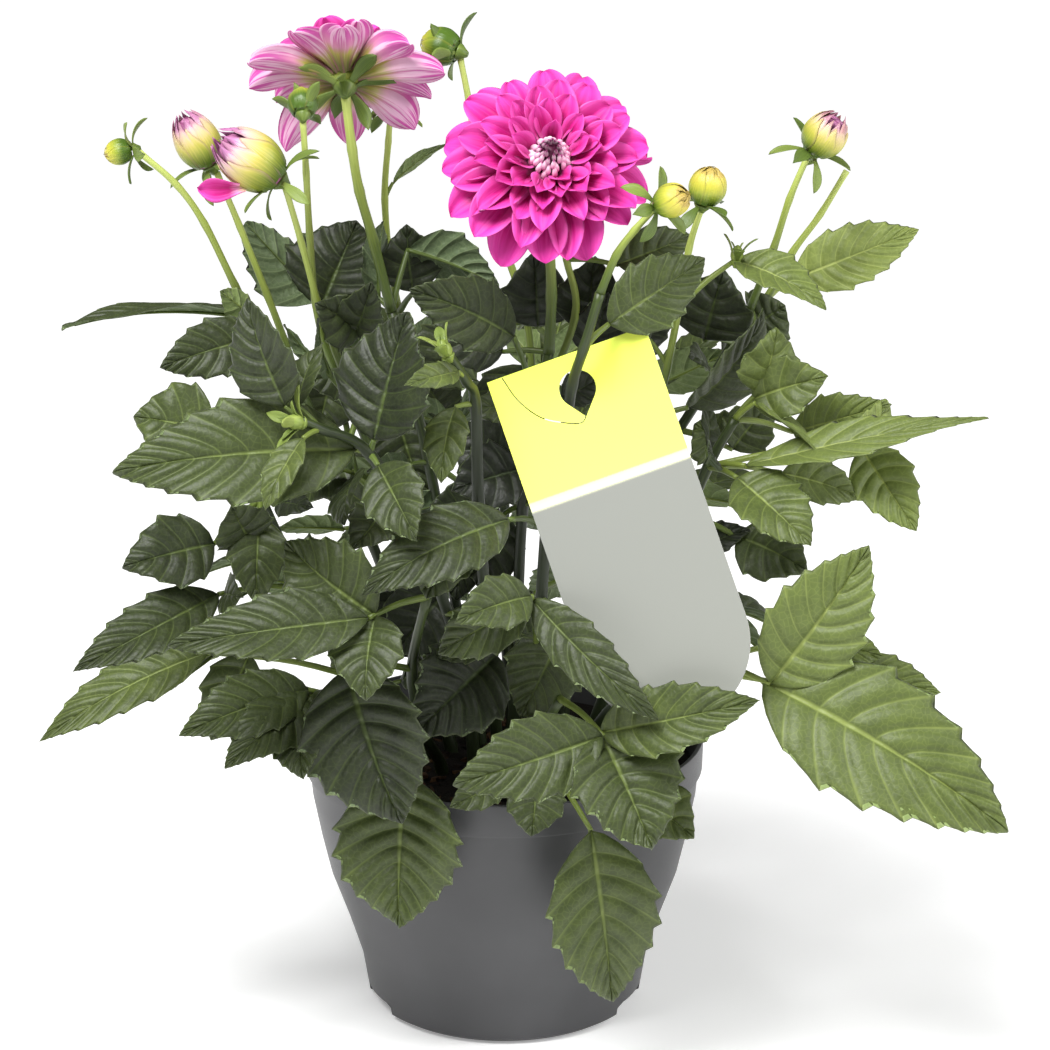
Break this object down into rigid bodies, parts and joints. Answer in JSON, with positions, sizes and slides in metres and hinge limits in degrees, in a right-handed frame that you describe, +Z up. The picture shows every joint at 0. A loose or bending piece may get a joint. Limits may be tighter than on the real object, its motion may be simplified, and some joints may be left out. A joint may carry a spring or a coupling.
{
  "type": "potted dahlia",
  "caption": "Bushy flowering dahlia in a round plastic growing pot, with open blooms, buds on long stalks and a blank hang tag threaded on one stem.",
  "frame": {"origin": "centre of the pot's underside, on the floor", "axes": "+Z up along the pot's axis, -Y towards the viewer of the front bloom and the hang tag"},
  "size_m": [0.441, 0.326, 0.4834],
  "materials": {
    "pot": "dark grey moulded plastic, satin",
    "soil": "dark moist peat with bark bits, dull",
    "tag": "printed card, yellow-green upper part and grey lower part, smooth",
    "leaf": "dark green leaf with a soft sheen; pale green stems",
    "bud": "yellow-green bud scales, pink-white tips on the opening ones",
    "petal": "magenta petals with pale streaks, velvety",
    "floret": "pink-white closed florets with maroon tips"
  },
  "bodies": {
    "root": {"pot": "pot", "soil": "soil", "hang_tag": "tag", "shoot_far_left": "leaf", "shoot_left": "leaf", "shoot_front_left": "leaf", "shoot_left_low": "leaf", "shoot_front_left_low": "leaf", "shoot_front_low": "leaf", "shoot_young": "leaf", "shoot_front": "leaf", "shoot_centre": "leaf", "shoot_back_left": "leaf", "shoot_right": "leaf", "shoot_back_right": "leaf", "shoot_right_middle": "leaf", "shoot_right_low": "leaf", "shoot_back": "leaf", "shoot_back_left_low": "leaf", "shoot_back_right_low": "leaf", "bud_far_left": "bud", "bud_left_upper": "bud", "bud_left_open": "bud", "bud_left_turned": "bud", "bud_back_left": "bud", "bud_top": "bud", "bud_front": "bud", "bud_right": "bud", "bud_far_right": "bud", "bloom_front_petals": "petal", "bloom_front_centre": "floret", "bloom_back_petals": "petal", "bloom_back_centre": "floret"}
  },
  "joints": []
}
